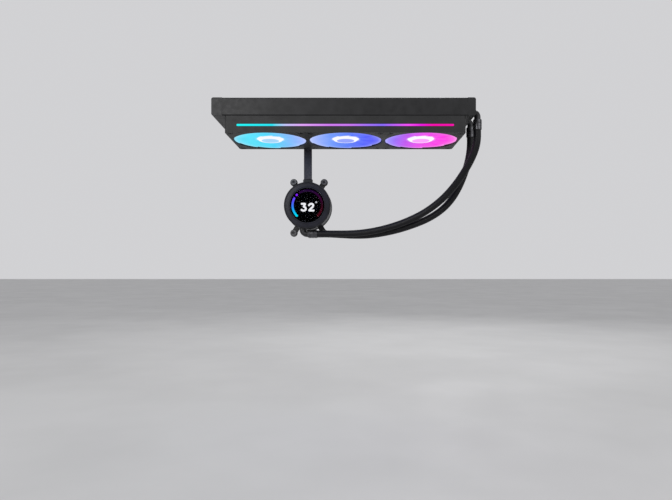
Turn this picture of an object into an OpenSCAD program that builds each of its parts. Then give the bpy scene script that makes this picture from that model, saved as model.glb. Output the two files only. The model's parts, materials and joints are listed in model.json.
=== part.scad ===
// Sealed liquid cooler for a computer processor, hanging from a case roof by its radiator.
// Origin: centre of the middle roof bolt pattern, on the radiator's top face.
// +X runs along the radiator to the hose end, +Y to the rear, +Z up. Millimetres.

/* [Radiator] */
// Length over both end tanks
rad_l = 394; // [392:1:400]
// Width over both side rails
rad_w = 121; // [120:0.5:123]
// Thickness
rad_t = 27; // [27:0.5:30]
// Distance from the origin to the end face that carries the ports
port_end_x = 194.5; // [192:0.5:196]
// Number of flat water tubes
tube_n = 12; // [8:1:14]
// Pitch of the folds in the fins
fin_pitch = 8; // [4:0.5:10]
// Distance between the two radiator ports, front to rear
port_gap = 50; // [44:1:60]

/* [Fan unit] */
// Distance between neighbouring fan centres
fan_pitch = 120; // [120:1:120]
// Spacing of one fan's screws, both ways
screw_pitch = 105; // [105:1:105]
// Thickness of the shared fan frame
frame_t = 25; // [25:1:28]
// Diameter of each air opening
opening_d = 116; // [114:0.5:116]
// Diameter over the blade tips
rotor_d = 113.6; // [108:0.2:113.6]
// Diameter of the rotor's hub
hub_d = 42; // [40:1:44]
// Number of blades on each rotor
blade_n = 9; // [7:1:11]
// Length of the light bar on the front face
light_l = 324; // [300:1:330]
// Height of the light bar
light_h = 4; // [3:0.5:5]

/* [Pump head] */
// Pump axis, along the radiator
pump_x = -66; // [-70:1:-60]
// Pump axis, below the radiator's top face
pump_z = -147; // [-150:1:-144]
// Diameter of the round shell
shell_d = 80; // [78:1:82]
// Diameter of the display's cover glass
glass_d = 59; // [56:1:62]
// Front of the display, from the origin
glass_y = 62; // [62:0.1:62]
// Contact face of the cold plate, from the origin
plate_y = 116; // [116:0.1:116]
// Socket hole spacing across
socket_w = 54; // [54:1:54]
// Socket hole spacing up
socket_h = 90; // [90:1:90]
// Diameter of the thumb nuts
nut_d = 10.6; // [10:0.2:11]

/* [Hoses] */
// Outer diameter of the sleeved hoses
hose_d = 11.5; // [11:0.5:12]
// Diameter of the crimped ferrules
ferrule_d = 13.5; // [13:0.5:14]
// Length of the crimped ferrules
ferrule_l = 16; // [14:1:16]

/* [Hidden] */
$fn = 64;

// Colours
black = [0.05, 0.05, 0.055];
dark = [0.16, 0.16, 0.17];
grey = [0.3, 0.3, 0.31];
steel = [0.72, 0.73, 0.75];
copper = [0.8, 0.45, 0.3];
brass = [0.8, 0.65, 0.35];
milky = [0.8, 0.85, 1.0];
board_green = [0.06, 0.2, 0.14];

// Radiator layout
far_end_x = port_end_x - rad_l;
mid_z = -rad_t / 2;
core_x0 = far_end_x + 16;
core_x1 = port_end_x - 12;
core_l = core_x1 - core_x0;
core_mid_x = (core_x0 + core_x1) / 2;
core_t = 18;
sheet = 1.2;
flange_w = 16.5;
tank_wall = 1.8;
header_t = 1.6;
tube_t = 2;
fin_w = (rad_w - 2 * sheet - tube_n * tube_t) / (tube_n + 1);
row_pitch = fin_w + tube_t;
fold_n = floor((core_l - 8) / fin_pitch);
screw_x = [for (c = [-1:1], s = [-1, 1]) c * fan_pitch + s * screw_pitch / 2];
screw_y = screw_pitch / 2;
thread_r = 1.75;
fan_thread_r = 1.5;
elbow_x = port_end_x + 10;
elbow_bend = 6.5;

// Fan unit layout
frame_l = 3 * fan_pitch;
frame_w = 120;
frame_top = -rad_t;
frame_low = frame_top - frame_t;
fan_x = [-fan_pitch, 0, fan_pitch];
hub_face_z = frame_low + 0.8;
hub_top_z = frame_top - 6;
blade_low_z = frame_low + 1.4;
blade_root_z = frame_low + 6.8;
blade_top_z = frame_top - 7;
hub_r = hub_d / 2;
cup_wall = 1.8;
shaft_r = 1.5;
sleeve_r = 3.2;
stator_r = 15.5;
light_z = frame_low + 11;
socket_x = pump_x;
socket_z = frame_low + 11;
socket_y = frame_w / 2;

// Pump head layout, where the local z axis is the origin's y axis
shell_r = shell_d / 2;
glass_r = glass_d / 2;
shell_back_y = 104;
control_y = 66.8;
coil_y = 71;
coil_l = 11;
can_r = 9.8;
can_bore_r = 8.8;
housing_y = 84;
chamber_r = 26;
volute_r = 21;
web_y = 98;
neck_y = 103;
neck_r = 34.5;
foot_y = 112;
foot_r = 33.5;
plate_screw_r = 29.5;
pin_y = coil_y + 0.8;
port_x = -9;
port_front_y = 75;
port_rear_y = 90.5;
hose_z = -195;
bracket_y = 106;
bracket_t = 2.5;
nut_l = 8;
post_r = 1.95;
board_y = 124;
ribbon_w = 14;
ribbon_t = 1.8;
ribbon_y = 80;

// Hose routes, from the radiator's ferrule to the pump's ferrule
hose_sides = 10;
route_front = [
    [204.5, -25, -40], [204.5, -25, -50], [203.8, -23.2, -61], [201.4, -18.3, -72.5],
    [197.2, -10.8, -84.5], [191.6, -1.8, -96.5], [185.2, 7.5, -108], [177.8, 16.8, -119.2],
    [169.2, 25.8, -130], [158.8, 34, -140.8], [146.6, 41.4, -151], [132.4, 48, -160.6],
    [115.6, 54, -169.4], [96.4, 59.2, -177.4], [75.4, 63.8, -184.2], [53, 67.8, -189.6],
    [30, 71, -193.2], [7, 73.4, -194.8], [-14, 74.6, -195], [-32, 75, -195], [-50, 75, -195]
];
route_rear = [
    [204.5, 25, -40], [204.5, 25, -50], [203.9, 25.4, -61], [202.3, 26.8, -73], [199.6, 29.4, -86],
    [196, 32.8, -99], [191.4, 36.8, -112.2], [185.4, 41.2, -125.6], [177.4, 46, -139],
    [166.4, 51.6, -151.8], [151.6, 57.6, -163.4], [133.4, 63.4, -173.2], [112, 69, -181.4],
    [89.6, 74, -188.2], [65.6, 78.6, -193.4], [40.6, 82.8, -196.8], [16, 86.4, -197.4],
    [-8, 89.2, -196.2], [-30, 90.5, -195], [-50, 90.5, -195]
];

// ---- helpers ----

function unit(v) = v / norm(v);

// Centred rectangle with round corners
module round_rect(w, h, r) {
    square([w - 2 * r, h], center = true);
    square([w, h - 2 * r], center = true);
    for (x = [-1, 1], y = [-1, 1]) translate([x * (w / 2 - r), y * (h / 2 - r)]) circle(r);
}

// Centred rectangle with full round ends
module slot_shape(l, w) {
    square([l - w, w], center = true);
    for (x = [-1, 1]) translate([x * (l - w) / 2, 0]) circle(w / 2);
}

module ring(r_out, r_in, h) {
    difference() {
        cylinder(r = r_out, h = h);
        translate([0, 0, -1]) cylinder(r = r_in, h = h + 2);
    }
}

// Round tube bent through a right angle: it comes along +X and leaves along -Z
module bend(r, bend_r) {
    translate([0, 0, -bend_r]) rotate([90, 0, 0])
        rotate_extrude(angle = 90) translate([bend_r, 0]) circle(r);
}

// Solid swept along a route, with a ring of points square to it at each point
module hose(route, r, sides) {
    last = len(route) - 1;
    rings = [for (i = [0:last])
        let (
            t = unit(route[min(i + 1, last)] - route[max(i - 1, 0)]),
            n = unit(cross(t, [0, 1, 0])),
            b = cross(n, t)
        )
        for (k = [0:sides - 1]) route[i] + r * (cos(360 * k / sides) * n + sin(360 * k / sides) * b)
    ];
    walls = [for (i = [0:last - 1], k = [0:sides - 1])
        let (a = i * sides + k, c = i * sides + (k + 1) % sides)
        each [[a, c, c + sides], [a, c + sides, a + sides]]
    ];
    caps = [
        [for (k = [sides - 1:-1:0]) k],
        [for (k = [0:sides - 1]) last * sides + k]
    ];
    polyhedron(rings, concat(walls, caps));
}

// Children drawn with their z axis along the pump's axis, their x axis along X
module on_pump() {
    translate([pump_x, 0, pump_z]) rotate([-90, 0, 0]) children();
}

// ---- radiator ----

// Hollow end tank, open towards the core, from x = 0 to x = length
module tank(length) {
    difference() {
        translate([length / 2, 0, mid_z]) rotate([90, 0, 0])
            linear_extrude(rad_w, center = true) round_rect(length, rad_t, 3);
        translate([-1, -rad_w / 2 + tank_wall, -rad_t + tank_wall])
            cube([length + 1 - tank_wall, rad_w - 2 * tank_wall, rad_t - 2 * tank_wall]);
        translate([-1, -rad_w, -rad_t - 1]) cube([4, 2 * rad_w, rad_t + 2]);
    }
}

module left_tank() {
    color(black) difference() {
        translate([core_x0, 0, 0]) mirror([1, 0, 0]) translate([-3, 0, 0]) tank(core_x0 - far_end_x + 3);
        translate([far_end_x - 1, 30, mid_z]) rotate([0, 90, 0]) cylinder(r = 4, h = 6);
    }
}

module port_tank() {
    color(black) difference() {
        translate([core_x1 - 3, 0, 0]) tank(port_end_x - core_x1 + 3);
        for (y = [-1, 1]) translate([port_end_x - 6, y * port_gap / 2, mid_z])
            rotate([0, 90, 0]) cylinder(r = 5, h = 12);
    }
}

// Places one child at each water tube
module at_tubes() {
    for (i = [0:tube_n - 1]) translate([0, (i - (tube_n - 1) / 2) * row_pitch, mid_z]) children();
}

module flat_tube(grow, length) {
    rotate([90, 0, 90]) linear_extrude(length, center = true)
        rotate(90) slot_shape(core_t + 2 * grow, tube_t + 2 * grow);
}

module header_plates() {
    color(steel) for (side = [0, 1]) difference() {
        translate([side ? core_x1 - header_t : core_x0, -rad_w / 2 + tank_wall + 0.05, -rad_t + tank_wall + 0.05])
            cube([header_t, rad_w - 2 * tank_wall - 0.1, rad_t - 2 * tank_wall - 0.1]);
        at_tubes() translate([side ? core_x1 : core_x0, 0, 0]) flat_tube(0, 12);
    }
}

module water_tubes() {
    color(steel) at_tubes() translate([core_mid_x, 0, 0]) difference() {
        flat_tube(0, core_l + 4);
        flat_tube(-0.35, core_l + 8);
    }
}

// One folded strip between two tubes
module fin_strip() {
    half = 0.45;
    crest = fin_w / 2 - half - 0.05;
    fold = [for (i = [0:2 * fold_n]) [(i - fold_n) * fin_pitch / 2, (i % 2 ? -1 : 1) * crest]];
    linear_extrude(core_t, center = true)
        polygon(concat(
            [for (p = fold) p + [0, half]],
            [for (i = [len(fold) - 1:-1:0]) fold[i] - [0, half]]
        ));
}

module fins() {
    color(grey) for (i = [0:tube_n])
        translate([core_mid_x, (i - tube_n / 2) * row_pitch, mid_z]) fin_strip();
}

// Sheet channel down one side, with a tapped collar at each screw place above and below
module rail() {
    length = core_l - 0.2;
    difference() {
        union() {
            translate([core_mid_x, rad_w / 2 - flange_w, mid_z]) rotate([90, 0, 90])
                linear_extrude(length, center = true) difference() {
                    round_rect(2 * flange_w, rad_t, 2);
                    round_rect(2 * flange_w - 2 * sheet, rad_t - 2 * sheet, 0.8);
                    translate([-flange_w, 0]) square([2 * flange_w, rad_t + 2], center = true);
                }
            for (x = screw_x, z = [-3, -rad_t]) translate([x, screw_y, z]) cylinder(r = 3, h = 3);
        }
        for (x = screw_x) translate([x, screw_y, 0]) {
            translate([0, 0, -4]) cylinder(r = thread_r, h = 5);
            translate([0, 0, -rad_t - 1]) cylinder(r = fan_thread_r + 0.05, h = 5);
        }
    }
}

module front_rail() {
    color(black) mirror([0, 1, 0]) rail();
}

module rear_rail() {
    color(black) rail();
}

module fill_plug() {
    color(steel) translate([far_end_x, 30, mid_z]) rotate([0, 90, 0]) difference() {
        union() {
            translate([0, 0, -1.2]) cylinder(r = 6, h = 1.2);
            cylinder(r = 3.95, h = 4);
        }
        translate([0, 0, -1.2]) cube([8, 1.2, 1.6], center = true);
    }
}

// Hollow elbow that leaves a wall along +X and turns down
module wall_elbow() {
    leg = 15;
    difference() {
        union() {
            translate([-3, 0, 0]) rotate([0, 90, 0]) cylinder(r = 4.95, h = elbow_x - port_end_x - elbow_bend + 3);
            rotate([0, 90, 0]) cylinder(r = 7, h = 2.5, $fn = 6);
            translate([elbow_x - port_end_x - elbow_bend, 0, 0]) bend(4.95, elbow_bend);
            translate([elbow_x - port_end_x, 0, -elbow_bend - leg]) cylinder(r = 4.95, h = leg);
        }
        translate([-4, 0, 0]) rotate([0, 90, 0]) cylinder(r = 3.2, h = elbow_x - port_end_x - elbow_bend + 4);
        translate([elbow_x - port_end_x - elbow_bend, 0, 0]) bend(3.2, elbow_bend);
        translate([elbow_x - port_end_x, 0, -elbow_bend - leg - 1]) cylinder(r = 3.2, h = leg + 1);
    }
}

module radiator_elbows() {
    color(dark) for (y = [-1, 1]) translate([port_end_x, y * port_gap / 2, mid_z]) wall_elbow();
}

// Crimped collar from z = 0 down, around a barb of the elbow's diameter
module ferrule() {
    difference() {
        rotate_extrude() {
            translate([0, -ferrule_l]) square([ferrule_d / 2 - 0.5, ferrule_l]);
            for (z = [0, 5, 10]) translate([0, -ferrule_l + 0.8 + z]) square([ferrule_d / 2, 4.2]);
        }
        translate([0, 0, -ferrule_l + 3.5]) cylinder(r = 4.95, h = ferrule_l);
    }
}

module radiator_ferrules() {
    color(grey) for (y = [-1, 1]) translate([elbow_x, y * port_gap / 2, -40 + ferrule_l]) ferrule();
}

module hose_front() {
    color(black) hose(route_front, hose_d / 2, hose_sides);
}

module hose_rear() {
    color(black) hose(route_rear, hose_d / 2, hose_sides);
}

// ---- fan unit ----

// Skewed arm from a motor seat to the opening's wall
module arm() {
    translate([14, 6, 0]) cube([45, 4, 3]);
}

module motor_seat() {
    cylinder(r = hub_r, h = 3);
    for (a = [0:90:270]) rotate(a + 20) arm();
    translate([0, 0, -15]) cylinder(r = 4.6, h = 16);
}

module fan_frame() {
    color(dark) difference() {
        union() {
            difference() {
                translate([0, 0, frame_low]) linear_extrude(frame_t) round_rect(frame_l, frame_w, 4);
                for (x = fan_x) translate([x, 0, frame_low - 1]) cylinder(d = opening_d, h = frame_t + 2, $fn = 128);
            }
            for (x = fan_x) translate([x, 0, frame_top - 3]) motor_seat();
        }
        for (x = fan_x) translate([x, 0, frame_low]) cylinder(r = sleeve_r, h = frame_t + 1);
        for (x = screw_x, y = [-1, 1]) translate([x, y * screw_y, 0]) {
            translate([0, 0, frame_low - 1]) cylinder(r = 2.2, h = frame_t + 2);
            translate([0, 0, frame_low - 1]) cylinder(r = 4, h = 3.5);
        }
        for (x = screw_x, y = [-1, 1]) translate([x, y * screw_y, frame_top])
            cube([13.2, 13.2, 2], center = true);
        translate([0, -frame_w / 2, light_z]) rotate([90, 0, 0])
            linear_extrude(2.4, center = true) slot_shape(light_l, light_h);
        for (x = [-1, 1]) translate([x * socket_x, socket_y, socket_z]) cube([18.4, 8, 10.4], center = true);
    }
}

module light_bar() {
    color(milky) translate([0, -frame_w / 2 + 1, light_z]) rotate([90, 0, 0])
        linear_extrude(1.2) slot_shape(light_l - 0.2, light_h - 0.2);
}

module light_bar_board() {
    color(board_green) translate([0, -frame_w / 2 + 1.2, light_z]) rotate([90, 0, 0])
        linear_extrude(0.2) slot_shape(light_l - 2, light_h - 1);
}

module corner_pads() {
    color(black) for (x = screw_x, y = [-1, 1]) translate([x, y * screw_y, frame_top - 1])
        difference() {
            linear_extrude(1) round_rect(13, 13, 2);
            translate([0, 0, -1]) cylinder(r = 2.3, h = 3);
        }
}

module fan_screws() {
    color(black) for (x = screw_x, y = [-1, 1]) translate([x, y * screw_y, 0]) difference() {
        union() {
            translate([0, 0, frame_low + 0.5]) cylinder(r = 3.6, h = 2);
            translate([0, 0, frame_low + 2]) cylinder(r = fan_thread_r, h = frame_t + 1.2);
        }
        translate([0, 0, frame_low + 0.9]) cube([4, 0.9, 1.6], center = true);
        translate([0, 0, frame_low + 0.9]) cube([0.9, 4, 1.6], center = true);
    }
}

module bearing_sleeves() {
    color(brass) for (x = fan_x) translate([x, 0, frame_top - 18]) ring(sleeve_r, shaft_r + 0.05, 17);
}

// Four-pole iron core on the motor seat's post
module fan_stators() {
    color(steel) for (x = fan_x) translate([x, 0, frame_top - 15]) difference() {
        union() {
            cylinder(r = 7, h = 8);
            for (a = [0, 90]) rotate(a) translate([-14, -2, 0]) cube([28, 4, 8]);
            difference() {
                ring(stator_r, stator_r - 2.5, 8);
                for (a = [45, 135]) rotate(a) translate([-20, -2, -1]) cube([40, 4, 10]);
            }
        }
        translate([0, 0, -1]) cylinder(r = 4.6, h = 10);
    }
}

module fan_windings() {
    color(copper) for (x = fan_x, a = [0:90:270]) translate([x, 0, frame_top - 16]) rotate(a)
        difference() {
            translate([7.6, -3.6, 0]) cube([4.8, 7.2, 10]);
            translate([7, -2, 1]) cube([6, 4, 8]);
        }
}

module hub_light_boards() {
    led_n = 8;
    color(board_green) for (x = fan_x) translate([x, 0, frame_top - 18]) {
        ring(17, 4.6, 1);
        for (k = [0:led_n - 1]) rotate(k * 360 / led_n)
            translate([15, 0, -0.4]) cube([2, 2, 0.9], center = true);
    }
}

// Half section of the ring that the blades sweep, cut back over the hub's rounded edge
module sweep_section() {
    polygon([
        [hub_r - 1, blade_root_z], [hub_r + 5, hub_face_z], [rotor_d / 2, hub_face_z],
        [rotor_d / 2, blade_top_z], [hub_r - 1, blade_top_z]
    ]);
}

// Cambered plate about one radial line, nearly level at its lower edge and steep at its upper edge
module blade() {
    pitch = 24;
    camber_r = 90;
    thick = 1.4;
    span = 56;
    low_edge = -36;
    $fn = 256;
    intersection() {
        rotate(low_edge) rotate_extrude(angle = span) sweep_section();
        translate([0, -camber_r * sin(pitch), blade_low_z + camber_r]) rotate([0, 90, 0]) rotate(180)
            difference() {
                cylinder(r = camber_r, h = rotor_d / 2 + 2);
                translate([0, 0, -1]) cylinder(r = camber_r - thick, h = rotor_d / 2 + 4);
            }
    }
}

// Half section of the hub's cup, grown inwards by wall
module cup_section(wall, top) {
    edge_r = 5.5 - wall;
    low = hub_face_z + wall;
    side = hub_r - wall;
    translate([0, low]) square([side - edge_r, top - low]);
    translate([0, low + edge_r]) square([side, top - low - edge_r]);
    translate([side - edge_r, low + edge_r]) circle(edge_r);
}

module rotor() {
    rotate_extrude($fn = 128) difference() {
        cup_section(0, hub_top_z);
        cup_section(cup_wall, hub_top_z + 1);
    }
    difference() {
        translate([0, 0, hub_face_z + cup_wall - 0.1]) cylinder(r = 4, h = 3.4);
        translate([0, 0, hub_face_z + cup_wall + 0.4]) cylinder(r = shaft_r, h = 4);
    }
    for (k = [0:blade_n - 1]) rotate(k * 360 / blade_n) blade();
}

module shaft() {
    translate([0, 0, hub_face_z + cup_wall + 0.4]) cylinder(r = shaft_r, h = 18);
}

module magnet() {
    translate([0, 0, hub_top_z - 10]) ring(hub_r - cup_wall, stator_r + 1.2, 9.5);
}

module rotor_left() { color(milky) translate([fan_x[0], 0, 0]) rotor(); }
module rotor_middle() { color(milky) translate([fan_x[1], 0, 0]) rotor(); }
module rotor_right() { color(milky) translate([fan_x[2], 0, 0]) rotor(); }
module shaft_left() { color(steel) translate([fan_x[0], 0, 0]) shaft(); }
module shaft_middle() { color(steel) translate([fan_x[1], 0, 0]) shaft(); }
module shaft_right() { color(steel) translate([fan_x[2], 0, 0]) shaft(); }
module magnet_left() { color(dark) translate([fan_x[0], 0, 0]) magnet(); }
module magnet_middle() { color(dark) translate([fan_x[1], 0, 0]) magnet(); }
module magnet_right() { color(dark) translate([fan_x[2], 0, 0]) magnet(); }

// Shallow socket in the frame's rear face, its mouth towards +Y
module rear_socket() {
    difference() {
        translate([-9.1, socket_y - 3.9, socket_z - 5.1]) cube([18.2, 5.4, 10.2]);
        translate([-7.6, socket_y - 3, socket_z - 2.6]) cube([15.2, 6, 5.2]);
    }
    for (k = [-3:3]) translate([k * 2, socket_y - 3.2, socket_z]) rotate([-90, 0, 0]) cylinder(r = 0.4, h = 1.6);
}

module frame_socket() { color(black) translate([socket_x, 0, 0]) rear_socket(); }
module power_inlet() { color(black) translate([-socket_x, 0, 0]) rear_socket(); }

// Flat lead from the fan frame's socket down to the head's socket
module link_cable() {
    bend_r = 8;
    start_y = socket_y + 8;
    end_z = pump_z + shell_r + 6;
    color(dark) translate([pump_x, 0, 0]) {
        translate([-ribbon_w / 2, start_y, socket_z - ribbon_t / 2])
            cube([ribbon_w, ribbon_y - bend_r - start_y, ribbon_t]);
        translate([0, ribbon_y - bend_r, socket_z - bend_r]) rotate([90, 0, 90])
            linear_extrude(ribbon_w, center = true) intersection() {
                difference() {
                    circle(bend_r + ribbon_t / 2);
                    circle(bend_r - ribbon_t / 2);
                }
                square(2 * bend_r);
            }
        translate([-ribbon_w / 2, ribbon_y - ribbon_t / 2, end_z])
            cube([ribbon_w, ribbon_t, socket_z - bend_r - end_z]);
    }
}

module link_plugs() {
    color(black) translate([pump_x, 0, 0]) {
        translate([-7.4, socket_y - 1.2, socket_z - 2.4]) cube([14.8, 4, 4.8]);
        translate([-8.2, socket_y + 1.6, socket_z - 3]) cube([16.4, 6.4, 6]);
        translate([-7.4, ribbon_y - 2.4, pump_z + shell_r - 4]) cube([14.8, 4.8, 5]);
        translate([-8.2, ribbon_y - 3, pump_z + shell_r]) cube([16.4, 6, 6]);
    }
}

// ---- pump head ----

module pump_shell() {
    color(dark) difference() {
        on_pump() rotate_extrude($fn = 128) polygon([
            [shell_r - 2, glass_y + 0.6], [shell_r - 1.2, glass_y + 0.6], [shell_r, glass_y + 1.8],
            [shell_r, shell_back_y], [shell_r - 2, shell_back_y]
        ]);
        for (y = [port_front_y, port_rear_y]) translate([pump_x + port_x, y, pump_z - shell_r - 2])
            cylinder(r = 6.8, h = 12);
        translate([pump_x - 9.7, ribbon_y - 4.2, pump_z + shell_r - 6]) cube([19.4, 8.4, 8]);
    }
}

module bezel_ring() {
    color(dark) on_pump() rotate_extrude($fn = 128) polygon([
        [glass_r + 0.2, glass_y + 0.2], [glass_r + 1.4, glass_y + 0.2], [glass_r + 2.4, glass_y + 1],
        [shell_r - 2.2, glass_y + 1.4], [shell_r - 2.2, glass_y + 4.4], [glass_r + 0.2, glass_y + 4.4]
    ]);
}

module display_glass() {
    color(black) on_pump() translate([0, 0, glass_y]) cylinder(r = glass_r, h = 1.5, $fn = 128);
}

module display_panel() {
    color(dark) on_pump() translate([0, 0, glass_y + 1.6]) cylinder(r = glass_r - 0.5, h = 2.6);
}

module control_board() {
    color(board_green) on_pump() {
        difference() {
            translate([0, 0, control_y]) cylinder(r = shell_r - 4, h = 1.4);
            for (a = [45:90:315]) rotate(a) translate([shell_r - 7, 0, 0]) cylinder(r = 1.3, h = 80);
        }
        translate([-6, -20, control_y + 1.4]) cube([10, 10, 1.4]);
        translate([8, -8, control_y + 1.4]) cube([6, 5, 1.2]);
        translate([-20, 4, control_y + 1.4]) cube([7, 7, 1.2]);
    }
}

// Socket in the top of the head, its mouth up
module head_socket() {
    top_z = pump_z + shell_r - 0.5;
    color(black) difference() {
        translate([pump_x - 9.4, ribbon_y - 3.9, top_z - 7]) cube([18.8, 7.8, 7]);
        translate([pump_x - 7.6, ribbon_y - 2.6, top_z - 5.5]) cube([15.2, 5.2, 8]);
    }
}

module pump_stator() {
    color(steel) on_pump() translate([0, 0, coil_y + 1]) {
        ring(24, 20.5, coil_l - 2);
        for (a = [0:60:300]) rotate(a) translate([10.4, -1.8, 0]) cube([10.8, 3.6, coil_l - 2]);
    }
}

module pump_windings() {
    color(copper) on_pump() for (a = [0:60:300]) rotate(a) translate([0, 0, coil_y]) difference() {
        translate([12, -3.1, 0]) cube([7.4, 6.2, coil_l]);
        translate([11, -1.8, 1]) cube([9.4, 3.6, coil_l - 2]);
    }
}

// Thin can that keeps the coolant from the coils, on a plate over the pump chamber
module rotor_can() {
    color(grey) on_pump() {
        translate([0, 0, coil_y]) ring(can_r, can_bore_r, housing_y - coil_y + 0.5);
        difference() {
            translate([0, 0, coil_y]) cylinder(r = can_r, h = 1.6);
            translate([0, 0, pin_y]) cylinder(r = shaft_r, h = 2);
        }
        translate([0, 0, housing_y]) ring(chamber_r, can_bore_r, 2);
    }
}

// Magnet rotor, its disc and seven straight vanes
module impeller() {
    disc_y = housing_y + 3;
    color(grey) on_pump() difference() {
        union() {
            translate([0, 0, coil_y + 2]) cylinder(r = 8.2, h = disc_y - coil_y - 2);
            translate([0, 0, disc_y]) cylinder(r = 17, h = 1.6);
            for (k = [0:6]) rotate(k * 360 / 7) translate([4.5, 2, disc_y + 1]) cube([11.5, 1.4, 7]);
            translate([0, 0, disc_y + 1]) cylinder(r = 3.2, h = 6);
        }
        translate([0, 0, coil_y]) cylinder(r = shaft_r + 0.05, h = 40);
    }
}

module impeller_pin() {
    color(steel) on_pump() translate([0, 0, pin_y]) cylinder(r = shaft_r, h = 22.5);
}

// Wet chamber with its two ports, water ways and the neck that carries the bracket
module pump_housing() {
    port_low = 25;
    way_x = 4;
    way_r = 2.6;
    color(black) difference() {
        on_pump() difference() {
            union() {
                translate([0, 0, housing_y]) cylinder(r = shell_r - 2.1, h = shell_back_y - housing_y - 0.1);
                translate([0, 0, neck_y]) cylinder(r = neck_r, h = foot_y - neck_y);
                translate([0, 0, bracket_y + bracket_t]) cylinder(r = neck_r + 2.5, h = 2.4);
                translate([port_x - 8, port_low, port_front_y - 6.7]) cube([26, 9, 16]);
                for (y = [port_front_y, port_rear_y])
                    translate([port_x, port_low, y]) rotate([-90, 0, 0]) cylinder(r = 6.6, h = 13);
            }
            translate([0, 0, housing_y - 1]) cylinder(r = chamber_r + 0.05, h = 3);
            translate([0, 0, housing_y + 1]) cylinder(r = volute_r, h = web_y - housing_y - 1);
            translate([0, 0, web_y - 1]) cylinder(r = 4, h = 4);
            translate([0, 0, web_y + 2]) cylinder(r = 22, h = 20);
            translate([port_x, 15, port_rear_y]) rotate([-90, 0, 0]) cylinder(r = 4.55, h = 30);
            translate([port_x, 30, port_front_y]) rotate([-90, 0, 0]) cylinder(r = 4.55, h = 20);
            translate([port_x, 30, port_front_y]) rotate([0, 90, 0]) cylinder(r = way_r, h = way_x - port_x);
            translate([way_x, 30, port_front_y]) cylinder(r = way_r, h = neck_y - port_front_y);
            translate([way_x, 15, neck_y]) rotate([-90, 0, 0]) cylinder(r = way_r, h = 15);
            at_plate_screws() translate([0, 0, neck_y - 3]) cylinder(r = 1.3, h = 20);
            translate([0, 0, foot_y - 0.6]) ring(25.5, 23.5, 2);
        }
        translate([pump_x - 9.6, ribbon_y - 4.1, pump_z + shell_r - 8]) cube([19.2, 8.2, 10]);
    }
}

// Places one child at each screw of the cold plate
module at_plate_screws() {
    for (a = [22.5:45:360]) rotate(a) translate([plate_screw_r, 0, 0]) children();
}

module plate_gasket() {
    color(black) on_pump() translate([0, 0, foot_y - 0.6]) ring(25.4, 23.6, 0.6);
}

// Copper plate with fine fins inside the chamber and a square pad for the processor
module cold_plate() {
    fin_n = 18;
    color(copper) on_pump() difference() {
        union() {
            translate([0, 0, foot_y]) cylinder(r = foot_r, h = 3);
            translate([0, 0, plate_y - 2]) linear_extrude(2) round_rect(44, 44, 5);
            for (k = [0:fin_n - 1]) translate([(k - (fin_n - 1) / 2) * 1.5 - 0.3, -13, foot_y - 6])
                cube([0.6, 26, 6.5]);
        }
        at_plate_screws() {
            translate([0, 0, foot_y - 2]) cylinder(r = 1.4, h = 8);
            translate([0, 0, foot_y + 1.4]) cylinder(r = 2.6, h = 8);
        }
    }
}

module plate_screws() {
    color(steel) on_pump() at_plate_screws() difference() {
        union() {
            translate([0, 0, neck_y]) cylinder(r = 1.25, h = 11);
            translate([0, 0, foot_y + 1.4]) cylinder(r = 2.4, h = 1.5);
        }
        translate([0, 0, foot_y + 2.2]) cylinder(r = 1.2, h = 2, $fn = 6);
    }
}

// Places one child at each of the socket's four holes
module at_corners(list = [0:3]) {
    for (i = list) translate([(i % 2 ? 1 : -1) * socket_w / 2, (i < 2 ? -1 : 1) * socket_h / 2, 0]) children();
}

module mounting_bracket() {
    reach = norm([socket_w, socket_h]) / 2;
    tilt = atan2(socket_h, socket_w);
    color(black) on_pump() difference() {
        translate([0, 0, bracket_y]) linear_extrude(bracket_t) difference() {
            union() {
                circle(shell_r + 1);
                for (a = [tilt, 180 - tilt, 180 + tilt, 360 - tilt]) rotate(a)
                    translate([30, -5]) square([reach - 30, 10]);
                at_corners() circle(6.5);
            }
            circle(neck_r + 0.2);
        }
        at_corners() cylinder(r = 2.3, h = 200);
    }
}

module board_posts() {
    color(steel) on_pump() at_corners() {
        translate([0, 0, bracket_y - 6]) cylinder(r = post_r, h = 10);
        translate([0, 0, bracket_y + bracket_t]) cylinder(r = 3.5, h = board_y - bracket_y - bracket_t);
        translate([0, 0, board_y - 1]) cylinder(r = 1.75, h = 7);
    }
}

// Knurled nut with a plain waist near the bracket
module thumb_nut(i) {
    knurl_n = 20;
    color(grey) on_pump() at_corners([i]) difference() {
        union() {
            translate([0, 0, bracket_y - nut_l]) cylinder(d = nut_d, h = nut_l - 2);
            translate([0, 0, bracket_y - 2.5]) cylinder(d = nut_d - 1.6, h = 2.5);
        }
        for (k = [0:knurl_n - 1]) rotate(k * 360 / knurl_n) translate([nut_d / 2 + 0.15, 0, bracket_y - nut_l - 1])
            cylinder(r = 0.5, h = nut_l - 1.5);
        translate([0, 0, bracket_y - nut_l - 1]) cylinder(r = post_r + 0.05, h = nut_l + 2);
        translate([0, 0, bracket_y - nut_l - 1]) cylinder(r = 2.6, h = 2.5);
    }
}

module thumb_nut_top_left() { thumb_nut(0); }
module thumb_nut_top_right() { thumb_nut(1); }
module thumb_nut_low_left() { thumb_nut(2); }
module thumb_nut_low_right() { thumb_nut(3); }

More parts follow.
